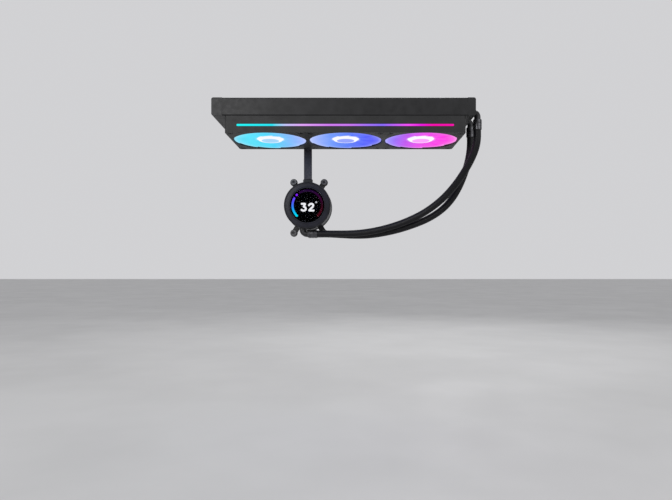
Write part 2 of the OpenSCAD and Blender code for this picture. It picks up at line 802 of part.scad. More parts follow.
// Swivelling elbow under a port: its stub points up, its barb along +X
module pump_elbow(y) {
    bore_r = 2.8;
    stub = 13;
    barb = 14;
    color(dark) translate([pump_x + port_x, y, hose_z]) difference() {
        union() {
            translate([0, 0, elbow_bend]) cylinder(r = 4.5, h = stub - elbow_bend + 4);
            translate([0, 0, elbow_bend]) cylinder(r = 5.2, h = 2.4);
            translate([elbow_bend, 0, 0]) mirror([1, 0, 0]) mirror([0, 0, 1]) bend(4.9, elbow_bend);
            translate([elbow_bend, 0, 0]) rotate([0, 90, 0]) cylinder(r = 4.9, h = barb);
        }
        translate([0, 0, elbow_bend]) cylinder(r = bore_r, h = 20);
        translate([elbow_bend, 0, 0]) mirror([1, 0, 0]) mirror([0, 0, 1]) bend(bore_r, elbow_bend);
        translate([elbow_bend, 0, 0]) rotate([0, 90, 0]) cylinder(r = bore_r, h = 20);
    }
}

module pump_elbow_front() { pump_elbow(port_front_y); }
module pump_elbow_rear() { pump_elbow(port_rear_y); }

module pump_ferrule(y) {
    color(grey) translate([-50 - ferrule_l, y, hose_z]) rotate([0, -90, 0]) ferrule();
}

module pump_ferrule_front() { pump_ferrule(port_front_y); }
module pump_ferrule_rear() { pump_ferrule(port_rear_y); }

left_tank();
port_tank();
header_plates();
water_tubes();
fins();
front_rail();
rear_rail();
fill_plug();
radiator_elbows();
radiator_ferrules();
hose_front();
hose_rear();
fan_frame();
light_bar();
light_bar_board();
corner_pads();
fan_screws();
bearing_sleeves();
fan_stators();
fan_windings();
hub_light_boards();
rotor_left();
rotor_middle();
rotor_right();
shaft_left();
shaft_middle();
shaft_right();
magnet_left();
magnet_middle();
magnet_right();
frame_socket();
power_inlet();
link_cable();
link_plugs();
pump_shell();
bezel_ring();
display_glass();
display_panel();
control_board();
head_socket();
pump_stator();
pump_windings();
rotor_can();
impeller();
impeller_pin();
pump_housing();
plate_gasket();
cold_plate();
plate_screws();
mounting_bracket();
board_posts();
thumb_nut_top_left();
thumb_nut_top_right();
thumb_nut_low_left();
thumb_nut_low_right();
pump_elbow_front();
pump_elbow_rear();
pump_ferrule_front();
pump_ferrule_rear();
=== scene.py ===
"""Looks of the sealed liquid cooler: radiator, lit fan unit, sleeved hoses and round pump head."""

import json
import math

import bpy
import numpy as np
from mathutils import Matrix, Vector


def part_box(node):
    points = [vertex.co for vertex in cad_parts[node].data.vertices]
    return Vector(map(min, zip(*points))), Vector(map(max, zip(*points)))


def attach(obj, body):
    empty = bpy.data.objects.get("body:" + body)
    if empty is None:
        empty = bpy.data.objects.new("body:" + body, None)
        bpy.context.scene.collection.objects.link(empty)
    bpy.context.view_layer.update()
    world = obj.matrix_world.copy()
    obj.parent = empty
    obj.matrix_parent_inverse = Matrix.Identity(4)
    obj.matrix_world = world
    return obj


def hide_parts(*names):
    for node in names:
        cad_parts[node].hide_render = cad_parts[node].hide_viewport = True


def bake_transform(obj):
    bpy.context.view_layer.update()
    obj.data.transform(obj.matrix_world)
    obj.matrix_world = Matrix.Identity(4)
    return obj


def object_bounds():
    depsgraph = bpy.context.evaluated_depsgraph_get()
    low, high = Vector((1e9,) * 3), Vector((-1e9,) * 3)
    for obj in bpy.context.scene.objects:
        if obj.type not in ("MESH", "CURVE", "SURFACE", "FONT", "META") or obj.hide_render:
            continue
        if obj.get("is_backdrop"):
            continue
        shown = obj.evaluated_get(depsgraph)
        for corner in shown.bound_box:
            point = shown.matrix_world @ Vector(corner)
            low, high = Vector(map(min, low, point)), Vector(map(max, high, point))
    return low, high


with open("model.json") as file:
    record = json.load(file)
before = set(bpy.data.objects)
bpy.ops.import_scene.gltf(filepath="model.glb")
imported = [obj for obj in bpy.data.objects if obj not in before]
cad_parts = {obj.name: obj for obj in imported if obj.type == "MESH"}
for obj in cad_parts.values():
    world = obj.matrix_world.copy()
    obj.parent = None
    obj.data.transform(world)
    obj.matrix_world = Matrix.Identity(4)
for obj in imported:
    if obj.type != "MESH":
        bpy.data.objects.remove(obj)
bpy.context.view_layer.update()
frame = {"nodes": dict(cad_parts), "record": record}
nodes = frame["nodes"]
slot_of = {s["node"]: s["material_slot"] for s in frame["record"]["subparts"]}
MM = 0.001
scene = bpy.context.scene
scene.view_settings.view_transform = "Standard"


# ---- camera ----

# Level and square to the front, placed and shifted to frame the part as the photo does.
camera = bpy.data.objects.new("camera", bpy.data.cameras.new("camera"))
camera.location = (0.007, -0.896, -0.2525)
camera.rotation_euler = (math.pi / 2, 0, 0)
camera.data.lens = 30.08
camera.data.shift_x = -0.0208
camera.data.shift_y = 0.0253
scene.collection.objects.link(camera)
scene.camera = camera


# ---- materials ----


def linear(text):
    """Linear colour of a hex string."""
    parts = [int(text[i : i + 2], 16) / 255 for i in (0, 2, 4)]
    return [c / 12.92 if c <= 0.04045 else ((c + 0.055) / 1.055) ** 2.4 for c in parts] + [1]


# Most of a noise lies between these.
NOISE_LOW, NOISE_HIGH = 0.3, 0.7


class Shader:
    """A material with one Principled shader, and short calls for the nodes that drive it."""

    def __init__(self, name, **values):
        self.material = bpy.data.materials.new(name)
        self.material.use_nodes = True
        self.tree = self.material.node_tree
        self.tree.nodes.clear()
        out = self.node("ShaderNodeOutputMaterial")
        self.bsdf = self.node("ShaderNodeBsdfPrincipled")
        self.link(self.bsdf.outputs[0], out.inputs[0])
        for key, value in values.items():
            self.bsdf.inputs[key.replace("_", " ").title().replace("Ior", "IOR")].default_value = value
        self.place = self.node("ShaderNodeTexCoord").outputs["Object"]

    def node(self, kind, **settings):
        made = self.tree.nodes.new(kind)
        for key, value in settings.items():
            setattr(made, key, value)
        return made

    def link(self, source, target):
        self.tree.links.new(source, target)

    def noise(self, scale, detail=2.0, stretch=(1, 1, 1)):
        """Noise of that many cells to the metre, from 0 to 1, finer along each axis that is stretched."""
        mapping = self.node("ShaderNodeMapping")
        mapping.inputs["Scale"].default_value = [scale * s for s in stretch]
        self.link(self.place, mapping.inputs["Vector"])
        made = self.node("ShaderNodeTexNoise")
        made.inputs["Scale"].default_value = 1.0
        made.inputs["Detail"].default_value = detail
        self.link(mapping.outputs[0], made.inputs["Vector"])
        return made.outputs["Fac"]

    def ramp(self, source, stops, low=0.0, high=1.0):
        """Colours along a value from low to high; stops are (place, colour)."""
        place = self.node("ShaderNodeMapRange")
        place.inputs["From Min"].default_value = low
        place.inputs["From Max"].default_value = high
        self.link(source, place.inputs["Value"])
        made = self.node("ShaderNodeValToRGB")
        elements = made.color_ramp.elements
        while len(elements) < len(stops):
            elements.new(0.5)
        for element, (where, colour) in zip(elements, stops):
            element.position = where
            element.color = list(colour)[:3] + [1]
        self.link(place.outputs[0], made.inputs[0])
        return made.outputs["Color"]

    def ranged(self, source, low, high):
        """The middle of a noise, spread from low to high."""
        made = self.node("ShaderNodeMapRange")
        made.inputs["From Min"].default_value = NOISE_LOW
        made.inputs["From Max"].default_value = NOISE_HIGH
        made.inputs["To Min"].default_value = low
        made.inputs["To Max"].default_value = high
        self.link(source, made.inputs["Value"])
        return made.outputs[0]

    def mix(self, fac, a, b, blend="MIX"):
        """Two colours mixed; each of the three may be a value or another node's output."""
        made = self.node("ShaderNodeMix", data_type="RGBA", blend_type=blend)
        # A Mix node has sockets for every data type: its colours are inputs 6 and 7 and output 2.
        for value, index in ((fac, 0), (a, 6), (b, 7)):
            if isinstance(value, bpy.types.NodeSocket):
                self.link(value, made.inputs[index])
            else:
                made.inputs[index].default_value = value
        return made.outputs[2]

    def math(self, operation, a, b=0.0):
        """A Math node on two numbers or outputs."""
        made = self.node("ShaderNodeMath", operation=operation)
        for i, value in enumerate((a, b)):
            if isinstance(value, bpy.types.NodeSocket):
                self.link(value, made.inputs[i])
            else:
                made.inputs[i].default_value = value
        return made.outputs[0]

    def axes(self):
        """X, Y and Z of the shaded point, as three outputs."""
        made = self.node("ShaderNodeSeparateXYZ")
        self.link(self.place, made.inputs[0])
        return made.outputs

    def drive(self, socket, source):
        self.link(source, self.bsdf.inputs[socket])

    def relief(self, height, depth, edge=0.0):
        """Bump of that depth in metres, over edges rounded to that radius."""
        bump = self.node("ShaderNodeBump")
        bump.inputs["Distance"].default_value = depth
        bump.inputs["Strength"].default_value = 1.0
        self.link(height, bump.inputs["Height"])
        if edge:
            rounded = self.node("ShaderNodeBevel", samples=4)
            rounded.inputs["Radius"].default_value = edge
            self.link(rounded.outputs[0], bump.inputs["Normal"])
        self.drive("Normal", bump.outputs[0])


def surface(
    name, dark, light, rough, grain=3000, depth=0.00003, mottle=60, edge=0.0003, stretch=(1, 1, 1), **values
):
    """Moulded, coated or machined surface: mottled colour, uneven gloss, fine grain and soft edges.

    grain and mottle are in noise cells to the metre. The depth of the grain and the edges' radius are in
    metres.
    """
    s = Shader(name, **values)
    cloud = s.noise(mottle, 3.0)
    s.drive("Base Color", s.ramp(cloud, [(0.35, dark), (0.65, light)]))
    smudge = s.noise(mottle * 2.7, 4.0, stretch)
    s.drive("Roughness", s.ranged(smudge, rough[0], rough[1]))
    s.relief(s.noise(grain, 2.0, stretch), depth, edge)
    return s.material


def grey(value, blue=1.08):
    """Linear grey, its blue multiplied by that factor."""
    return (value, value, value * blue)


WHITE = (1, 1, 1)
BLACK = (0, 0, 0)

coat = surface(
    "black_coat", grey(0.008), grey(0.014), (0.34, 0.48), 1500, 0.00002, specular_ior_level=0.3
)
frame_plastic = surface(
    "frame_plastic", grey(0.016, 1.03), grey(0.022, 1.03), (0.42, 0.56), 3800, 0.00004, 40,
    specular_ior_level=0.25,
)
bare_metal = surface(
    "brazed_aluminium", grey(0.14), grey(0.24), (0.42, 0.6), 2200, 0.00004, 120, metallic=1.0
)
zinc = surface(
    "zinc_steel", grey(0.45), grey(0.62), (0.22, 0.38), 2600, 0.00001, 150, 0.0001, metallic=1.0
)
oxide = surface(
    "black_oxide", grey(0.02), grey(0.04), (0.3, 0.45), 3000, 0.00001, 200, 0.0002, metallic=0.6
)
fitting = surface(
    "satin_fitting", grey(0.016), grey(0.03), (0.28, 0.4), 2400, 0.000012, 150, 0.0003, metallic=0.5
)
ferrule_metal = surface(
    "turned_ferrule", grey(0.055), grey(0.1), (0.24, 0.36), 5000, 0.000008, 180, 0.0002, metallic=0.85
)
rubber = surface("pad_rubber", grey(0.012), grey(0.022), (0.7, 0.85), 2500, 0.00005, 90)
shell_plastic = surface(
    "shell_plastic", grey(0.009, 1.3), grey(0.014, 1.3), (0.34, 0.46), 4200, 0.00002, 50,
    specular_ior_level=0.25,
)
# Blue raised 1.6 times: partly the bezel's own cool tone, partly a painted reflection of blue fan light.
bezel_plastic = surface(
    "bezel_plastic", grey(0.009, 1.6), grey(0.014, 1.6), (0.28, 0.38), 4200, 0.000012, 50, 0.0004,
    specular_ior_level=0.22,
)
moulded = surface(
    "moulded_black", grey(0.008), grey(0.014), (0.4, 0.55), 3200, 0.00003, 70, specular_ior_level=0.35
)
screen_black = surface(
    "screen_black", grey(0.002), grey(0.004), (0.5, 0.6), 5000, 0.000002, 60, 0, specular_ior_level=0.0
)
ferrite = surface("ferrite", grey(0.04), grey(0.07), (0.6, 0.75), 2600, 0.00005, 200)
mask = surface(
    "solder_mask", (0.004, 0.018, 0.014), (0.008, 0.03, 0.022), (0.25, 0.4), 900, 0.00003, 150
)
winding = surface(
    "enamelled_wire", (0.35, 0.11, 0.03), (0.55, 0.2, 0.07), (0.25, 0.4), 900, 0.00012, 200,
    stretch=(1, 1, 7), metallic=0.9,
)
bronze = surface(
    "sintered_bronze", (0.42, 0.28, 0.1), (0.55, 0.38, 0.16), (0.5, 0.65), 2600, 0.00005, 200, metallic=1.0
)
milled_copper = surface(
    "milled_copper", (0.62, 0.27, 0.15), (0.78, 0.38, 0.23), (0.2, 0.34), 420, 0.00002, 30, 0.0002,
    stretch=(1, 1, 22), metallic=1.0,
)
ceramic = surface("ceramic", grey(0.7, 0.95), grey(0.78, 0.95), (0.1, 0.2), 1800, 0.000005, 80)
nut_metal = surface(
    "knurled_nut", grey(0.06, 1.04), grey(0.12, 1.04), (0.26, 0.42), 2600, 0.000015, 260, 0.00025,
    metallic=0.8,
)
bracket_coat = surface(
    "bracket_coat", grey(0.012), grey(0.02), (0.36, 0.5), 1700, 0.00003, 70, 0.0004, metallic=0.3
)
ribbon_jacket = surface(
    "ribbon_jacket", (0.012, 0.011, 0.02), (0.02, 0.018, 0.032), (0.36, 0.5), 1500, 0.00002, 60, 0
)


LOUVRE = 1.1 * MM


def fin_material():
    """Dull black fin, with a saw wave in its relief for the louvres."""
    s = Shader("louvred_fin", metallic=0.4)
    s.drive("Base Color", s.ramp(s.noise(90, 3.0), [(0.35, grey(0.012)), (0.65, grey(0.03))]))
    s.drive("Roughness", s.ranged(s.noise(400, 2.0), 0.35, 0.55))
    wave = s.node("ShaderNodeTexWave", bands_direction="Z", wave_profile="SAW")
    # A wave texture at scale 1 repeats every pi / 10.
    wave.inputs["Scale"].default_value = math.pi / (10 * LOUVRE)
    s.link(s.place, wave.inputs["Vector"])
    s.relief(wave.outputs["Fac"], 0.0002)
    return s.material


def sleeve_material():
    """Black yarn with faint paler flecks."""
    s = Shader("braided_sleeve", specular_ior_level=0.22)
    fleck = s.noise(900, 3.0)
    yarn = [(0.3, grey(0.002, 1.3)), (0.55, grey(0.005, 1.3)), (0.75, grey(0.012, 1.3))]
    s.drive("Base Color", s.ramp(fleck, yarn))
    s.drive("Roughness", s.ranged(s.noise(1500, 2.0), 0.34, 0.58))
    s.relief(s.noise(6000, 1.0), 0.00005)
    return s.material


LIGHT_STOPS = [
    (0.0, "1fffff"), (0.165, "26eafa"), (0.225, "c8c8ff"), (0.30, "e8a8ff"), (0.42, "d880fa"),
    (0.52, "cf7af8"), (0.60, "a974ff"), (0.672, "8a6cff"), (0.74, "d060ff"), (0.79, "ff4cff"),
    (0.85, "f313e7"), (0.90, "ff00b4"), (1.0, "ff00b0"),
]


def light_bar_material():
    """Lit bar: cyan on the left, magenta on the right, darker along its top and bottom edges."""
    low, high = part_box("light_bar")
    s = Shader("light_bar", emission_strength=1.0, roughness=0.4, specular_ior_level=0.0)
    x, _, z = s.axes()
    colours = s.ramp(x, [(p, linear(c)) for p, c in LIGHT_STOPS], low.x, high.x)
    dark = grey(0.12, 1)
    across = s.ramp(z, [(0.0, dark), (0.24, WHITE), (0.76, WHITE), (1.0, dark)], low.z, high.z)
    s.drive("Emission Color", s.mix(1.0, colours, across, "MULTIPLY"))
    s.drive("Base Color", s.ramp(s.noise(200, 2.0), [(0.3, grey(0.004)), (0.7, grey(0.008))]))
    s.relief(s.noise(2500, 2.0), 0.00001)
    return s.material


ROTOR_REACH = 57 * MM
# Soft edges of the hub and of the disc in its face, as parts of the reach.
HUB_EDGE = (0.366, 0.372)
FACE_EDGE = (0.236, 0.25)


def disc(s, radius, edge):
    """1 inside a disc round the rotor's axis and 0 outside it, with a narrow soft edge."""
    return s.ramp(radius, [(0.0, WHITE), (edge[0], WHITE), (edge[1], BLACK)], 0.0, ROTOR_REACH)


def rotor_material(name, centre_x, across, face):
    """Milky plastic lit from the hub: one colour runs into another along X, paler near the rim."""
    s = Shader(name, emission_strength=1.0, specular_ior_level=0.02)
    x, y, _ = s.axes()
    local_x = s.math("SUBTRACT", x, centre_x)
    tint = s.ramp(local_x, [(p, linear(c)) for p, c in across], -ROTOR_REACH, ROTOR_REACH)
    squared = s.math("ADD", s.math("MULTIPLY", local_x, local_x), s.math("MULTIPLY", y, y))
    radius = s.math("SQRT", squared)
    paleness = [(0.0, 0.35), (0.37, 0.3), (0.43, 0.02), (0.74, 0.0), (0.9, 0.08), (1.0, 0.32)]
    pale = s.ramp(radius, [(p, grey(v, 1)) for p, v in paleness], 0.0, ROTOR_REACH)
    lit = s.mix(pale, tint, (0.9, 0.95, 1.0, 1))
    on_hub = disc(s, radius, HUB_EDGE)
    on_face = disc(s, radius, FACE_EDGE)
    hub = s.mix(on_face, (0.98, 0.98, 1.0, 1), linear(face))
    cloud = s.ramp(s.noise(55, 2.0), [(0.3, grey(0.93, 1)), (0.7, grey(1.0, 1))])
    s.drive("Emission Color", s.mix(1.0, s.mix(on_hub, lit, hub), cloud, "MULTIPLY"))
    s.drive("Base Color", s.mix(0.95, tint, (0.01, 0.01, 0.015, 1)))
    s.drive("Roughness", s.ranged(s.noise(300, 2.0), 0.28, 0.4))
    s.relief(s.noise(1200, 2.0), 0.00002)
    return s.material


def glow_material(name, stops, low, high, axis=0):
    """Lit part of the display, its colour running along one axis, under a faint grain."""
    s = Shader(name, emission_strength=1.0, roughness=0.4, specular_ior_level=0.0)
    value = s.axes()[axis]
    grain = s.noise(5000, 0.0)
    colours = s.ramp(value, [(p, linear(c)) for p, c in stops], low, high)
    shade = s.ramp(grain, [(0.3, grey(0.92, 1)), (0.7, grey(1.0, 1))])
    s.drive("Emission Color", s.mix(1.0, colours, shade, "MULTIPLY"))
    s.drive("Base Color", s.ramp(grain, [(0.3, grey(0.001)), (0.7, grey(0.002))]))
    return s.material


def glass_material():
    """Clear cover with an index of 1: its reflections would leave white specks on the black panel."""
    s = Shader("cover_glass", transmission_weight=1.0, ior=1.0, base_color=(0.9, 0.91, 0.95, 1))
    s.drive("Roughness", s.ranged(s.noise(120, 3.0), 0.01, 0.03))
    return s.material


# ---- mesh helpers ----


def piece(name, verts, faces, body, material, smooth=True, replaces=()):
    """Object from points and faces, riding on its body if one is given, in place of the nodes it replaces."""
    mesh = bpy.data.meshes.new(name)
    mesh.from_pydata([tuple(v) for v in verts], [], [tuple(f) for f in faces])
    mesh.validate()
    mesh.polygons.foreach_set("use_smooth", [smooth] * len(mesh.polygons))
    mesh.materials.append(material)
    made = bpy.data.objects.new(name, mesh)
    scene.collection.objects.link(made)
    if body:
        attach(made, body)
    if replaces:
        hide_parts(*replaces)
    return made


def grid_faces(rows, columns, start=0):
    """Quads between rows of points, each row a closed ring."""
    faces = []
    for i in range(rows - 1):
        a = start + i * columns
        b = a + columns
        for k in range(columns):
            after = (k + 1) % columns
            faces.append((a + k, a + after, b + after, b + k))
    return faces


def smooth_path(points, step):
    """Even points along a smooth curve through the given ones, and the curve's length."""
    p = np.array(points, float)
    ends = np.vstack([2 * p[0] - p[1], p, 2 * p[-1] - p[-2]])
    fine = []
    for i in range(1, len(ends) - 2):
        a, b, c, d = ends[i - 1 : i + 3]
        for t in np.linspace(0, 1, 40, endpoint=False):
            square = (2 * a - 5 * b + 4 * c - d) * t**2
            cube = (3 * b - a - 3 * c + d) * t**3
            fine.append(0.5 * (2 * b + (c - a) * t + square + cube))
    fine.append(p[-1])
    fine = np.array(fine)
    along = np.concatenate([[0], np.cumsum(np.linalg.norm(np.diff(fine, axis=0), axis=1))])
    count = int(round(along[-1] / step)) + 1
    at = np.linspace(0, along[-1], count)
    return np.stack([np.interp(at, along, fine[:, k]) for k in range(3)], axis=1), along[-1]


def frames_along(path, up):
    """Two directions across the path at each point, turned as little as possible."""
    tangents = np.gradient(path, axis=0)
    tangents /= np.linalg.norm(tangents, axis=1)[:, None]
    side = np.cross(tangents[0], up)
    side /= np.linalg.norm(side)
    sides = []
    for t in tangents:
        side = side - (side @ t) * t
        side /= np.linalg.norm(side)
        sides.append(side)
    sides = np.array(sides)
    return sides, np.cross(tangents, sides)


# ---- hoses ----

HOSE_R = 5.75 * MM
# Points along each hose in millimetres, from the radiator elbow to the pump elbow.
ROUTE_FRONT = [
    (204.5, -25, -40), (204.5, -25, -50), (203.8, -23.2, -61), (201.4, -18.3, -72.5),
    (197.2, -10.8, -84.5), (191.6, -1.8, -96.5), (185.2, 7.5, -108), (177.8, 16.8, -119.2),
    (169.2, 25.8, -130), (158.8, 34, -140.8), (146.6, 41.4, -151), (132.4, 48, -160.6),
    (115.6, 54, -169.4), (96.4, 59.2, -177.4), (75.4, 63.8, -184.2), (53, 67.8, -189.6),
    (30, 71, -193.2), (7, 73.4, -194.8), (-14, 74.6, -195), (-32, 75, -195), (-50, 75, -195),
]
ROUTE_REAR = [
    (204.5, 25, -40), (204.5, 25, -50), (203.9, 25.4, -61), (202.3, 26.8, -73), (199.6, 29.4, -86),
    (196, 32.8, -99), (191.4, 36.8, -112.2), (185.4, 41.2, -125.6), (177.4, 46, -139),
    (166.4, 51.6, -151.8), (151.6, 57.6, -163.4), (133.4, 63.4, -173.2), (112, 69, -181.4),
    (89.6, 74, -188.2), (65.6, 78.6, -193.4), (40.6, 82.8, -196.8), (16, 86.4, -197.4),
    (-8, 89.2, -196.2), (-30, 90.5, -195), (-50, 90.5, -195),
]
SLEEVE = sleeve_material()


def braid(turn, along):
    """Height from 0 to 1 of a plain braid, at a part of a turn round the hose and a distance along it."""
    strands, pitch = 14, 3.4 * MM
    level, swing = 0.62, 0.38
    a = strands * turn + along / pitch
    b = strands * turn - along / pitch
    i, j = np.floor(a), np.floor(b)
    over = np.cos(np.pi * (b - 0.5 + i))
    under = -np.cos(np.pi * (a - 0.5 + j))
    crown_a = np.sqrt(np.clip(1 - (2 * (a - i) - 1) ** 2, 0, 1))
    crown_b = np.sqrt(np.clip(1 - (2 * (b - j) - 1) ** 2, 0, 1))
    return np.maximum(crown_a * (level + swing * over), crown_b * (level + swing * under))


def hose(name, node, route):
    """Braided hose along a route, from the radiator elbow at one end to a pump elbow at the other."""
    sides, step = 72, 0.62 * MM
    groove, strand = 0.38 * MM, 0.42 * MM
    path, length = smooth_path(np.array(route) * MM, step)
    side, rise = frames_along(path, (0, 1, 0))
    turn = np.arange(sides) / sides
    along = np.linspace(0, length, len(path))
    height = braid(turn[None, :], along[:, None])
    radius = HOSE_R - groove + strand * height
    around = (
        np.cos(2 * np.pi * turn)[None, :, None] * side[:, None, :]
        + np.sin(2 * np.pi * turn)[None, :, None] * rise[:, None, :]
    )
    verts = (path[:, None, :] + radius[:, :, None] * around).reshape(-1, 3)
    faces = [f[::-1] for f in grid_faces(len(path), sides)]
    last = (len(path) - 1) * sides
    faces.append(tuple(range(sides)))
    faces.append(tuple(last + k for k in reversed(range(sides))))
    made = piece(name, verts, faces, None, SLEEVE, replaces=[node])
    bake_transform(made)


hose("sleeved_hose_front", "hose_front", ROUTE_FRONT)
hose("sleeved_hose_rear", "hose_rear", ROUTE_REAR)


# ---- radiator core ----


def fold_strips():
    """Every folded fin strip of the core, as thin closed sheet."""
    low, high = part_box("fins")
    strips, tube, gap = 13, 2.0 * MM, 0.12 * MM
    fold, half = 1.35 * MM, 0.07 * MM
    width = (high.y - low.y + tube) / strips
    crest = (width - tube) / 2 - gap
    count = int((high.x - low.x) / fold)
    xs = (low.x + high.x) / 2 + (np.arange(count + 1) - count / 2) * fold
    verts, faces = [], []
    for i in range(strips):
        mid = low.y + (width - tube) / 2 + i * width
        side = np.where(np.arange(count + 1) % 2 == 0, crest, -crest)
        start = len(verts)
        for x, y in zip(xs, mid + side):
            left, right = x - half, x + half
            verts += [(left, y, low.z), (right, y, low.z), (right, y, high.z), (left, y, high.z)]
        faces += grid_faces(count + 1, 4, start=start)
        faces.append((start + 3, start + 2, start + 1, start))
        end = start + 4 * count
        faces.append((end, end + 1, end + 2, end + 3))
    return verts, faces


verts, faces = fold_strips()
piece("fin_folds", verts, faces, "cooler", fin_material(), smooth=False, replaces=["fins"])


# ---- rotors ----

BLADES = 9


def hub_shell(low, high):
    """Cup with a softly rounded face edge, a shallow dish in its face and small chamfers on its rim."""
    segments = 96
    r, edge, wall, lip = 21 * MM, 5.5 * MM, 1.8 * MM, 0.3 * MM
    dish = [(0.0, 0.25), (6, 0.22), (12.5, 0.1), (14.2, 0.02)]
    profile = [(rad * MM, low + deep * MM) for rad, deep in dish]
    for t in np.linspace(0, 1, 11):
        a = math.pi / 2 * t
        profile.append((r - edge + edge * math.sin(a), low + edge - edge * math.cos(a)))
    profile += [(r, high - 0.4 * MM), (r - lip, high), (r - wall + lip, high), (r - wall, high - lip)]
    profile += [(r - wall, low + edge), (r - edge, low + wall), (0.0, low + wall)]
    verts = []
    for rad, z in profile:
        for k in range(segments):
            a = 2 * math.pi * k / segments
            verts.append((rad * math.cos(a), rad * math.sin(a), z))
    return verts, grid_faces(len(profile), segments)


def blade_surface():
    """Middle surface of one blade: nearly level to just past the next blade's edge, then curled up steeply.

    Points are (radius, angle, height), row by row from root to tip, with the blade's thickness at each.
    """
    rows = 22
    root, tip = 19.2 * MM, 56.6 * MM
    low, high = -50.3 * MM, -35.2 * MM
    root_rise, root_reach = 2.6 * MM, 16 * MM
    level_rise, full = 1.0 * MM, 0.8 * MM
    pitch = 360 / BLADES
    first, curl_at, end = -36, 45, 57
    leading = np.linspace(0, 2, 4)
    middle = np.linspace(5, curl_at - 2, 11)
    curled = np.linspace(curl_at, end, 11)
    turns = np.concatenate([leading, middle, curled])
    points, thick = [], []
    for i in range(rows):
        s = i / (rows - 1)
        r = root + (tip - root) * s
        bottom = low + root_rise * max(0.0, 1 - (r - root) / root_reach) ** 2
        lean = 5 * math.sin(math.pi * s) - 4 * s
        for turn in turns:
            level = level_rise * min(turn / pitch, 1) ** 1.6
            curl = (high - bottom - level) * max(0.0, (turn - curl_at) / (end - curl_at)) ** 1.35
            points.append((r, math.radians(turn + first + lean), bottom + level + curl))
            soft = min(1, 0.3 + turn / 3, 0.3 + (end - turn) / 3) ** 0.5
            thick.append(full * soft)
    return points, thick, rows, len(turns)


def blades(count):
    """All blades of a rotor, each a closed sheet with rounded edges."""
    points, thick, rows, columns = blade_surface()
    verts, faces = [], []
    for n in range(count):
        turn = 2 * math.pi * n / count
        turned = [(r * math.cos(a + turn), r * math.sin(a + turn), z) for r, a, z in points]
        p = np.array(turned).reshape(rows, columns, 3)
        du, dv = np.gradient(p, axis=0), np.gradient(p, axis=1)
        normal = np.cross(du, dv)
        normal /= np.linalg.norm(normal, axis=2)[:, :, None]
        half = np.array(thick).reshape(rows, columns)[:, :, None] / 2
        start = len(verts)
        upper, lower = p + normal * half, p - normal * half
        ring_width = 2 * columns
        for i in range(rows):
            verts += [tuple(v) for v in upper[i]] + [tuple(v) for v in lower[i][::-1]]
        faces += grid_faces(rows, ring_width, start=start)
        faces.append(tuple(start + k for k in reversed(range(ring_width))))
        end = start + (rows - 1) * ring_width
        faces.append(tuple(end + k for k in range(ring_width)))
    return verts, faces


# The colour along each rotor, from left to right, and the colour of its hub's face.
ROTORS = {
    "left": (
        [(0.0, "62d8f4"), (0.22, "54e2fb"), (0.5, "46d6fb"), (0.76, "7cbcfe"), (1.0, "a0b0ff")],
        "a5d5f9",
    ),
    "middle": (
        [
            (0.0, "a8bcff"), (0.14, "94b0ff"), (0.3, "6c98ff"), (0.5, "5880f7"), (0.77, "5462fe"),
            (1.0, "5a58f5"),
        ],
        "93a2fd",
    ),
    "right": (
        [
            (0.0, "8c86ff"), (0.14, "9d6cfa"), (0.29, "be50f0"), (0.5, "ea48ec"), (0.77, "fa3ae2"),
            (1.0, "ff50e0"),
        ],
        "fba0ff",
    ),
}
for side, (across, face) in ROTORS.items():
    node = f"rotor_{side}"
    low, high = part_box(node)
    centre_x, centre_y = (low.x + high.x) / 2, (low.y + high.y) / 2
    hub_verts, hub_faces = hub_shell(low.z, high.z)
    blade_verts, blade_faces = blades(BLADES)
    offset = len(hub_verts)
    verts = [(x + centre_x, y + centre_y, z) for x, y, z in hub_verts + blade_verts]
    faces = hub_faces + [tuple(offset + i for i in f) for f in blade_faces]
    glow = rotor_material(f"rotor_glow_{side}", centre_x, across, face)
    rotor = piece(
        f"lit_rotor_{side}", verts, faces, f"{side}_fan", glow, replaces=[node]
    )
    weld = rotor.modifiers.new("weld", "WELD")
    weld.merge_threshold = 0.01 * MM


# ---- flat lead ----


def flat_lead():
    """Ribbed flat cable from the fan frame down to the head."""
    low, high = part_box("link_cable")
    thick, bend = 1.8 * MM, 8 * MM
    ribs, web, rib = 9, 0.62, 0.36
    width = high.x - low.x - 0.1 * MM
    mid_x, top_z, back_y = (low.x + high.x) / 2, high.z - thick / 2, high.y - thick / 2
    path = [(mid_x, y, top_z) for y in np.linspace(low.y, back_y - bend, 5)[:-1]]
    for a in np.linspace(0, math.pi / 2, 13):
        path.append((mid_x, back_y - bend + bend * math.sin(a), top_z - bend + bend * math.cos(a)))
    path += [(mid_x, back_y, z) for z in np.linspace(top_z - bend, low.z, 26)[1:]]
    path = np.array(path)
    tangents = np.gradient(path, axis=0)
    tangents /= np.linalg.norm(tangents, axis=1)[:, None]
    across = np.array([1.0, 0, 0])
    out = np.cross(across, tangents)
    section = []
    count = ribs * 6
    for k in range(count + 1):
        u = k / count
        h = 0.5 * thick * (web + rib * abs(math.sin(math.pi * ribs * u)))
        section.append(((u - 0.5) * width, h))
    section += [(x, -h) for x, h in reversed(section)]
    verts = [tuple(p + across * x + o * h) for p, o in zip(path, out) for x, h in section]
    n = len(section)
    faces = [f[::-1] for f in grid_faces(len(path), n)]
    faces.append(tuple(range(n)))
    faces.append(tuple((len(path) - 1) * n + k for k in reversed(range(n))))
    return verts, faces


verts, faces = flat_lead()
piece("ribbed_lead", verts, faces, "cooler", ribbon_jacket, replaces=["link_cable"])


# ---- display ----

glass_low, glass_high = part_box("display_glass")
DIAL = Vector(((glass_low.x + glass_high.x) / 2, 0, (glass_low.z + glass_high.z) / 2))
PICTURE_Y = glass_high.y + 0.05 * MM
STROKE_DEPTH = 0.03 * MM

# Measures of the picture in millimetres: the arc's radius, half the strokes' widths, the figures' corners.
ARC_R = 25.2
ARC_HALF = 1.85
DOT_HALF = 1.95
FIGURE_HALF = 1.65
CORNER = 1.4
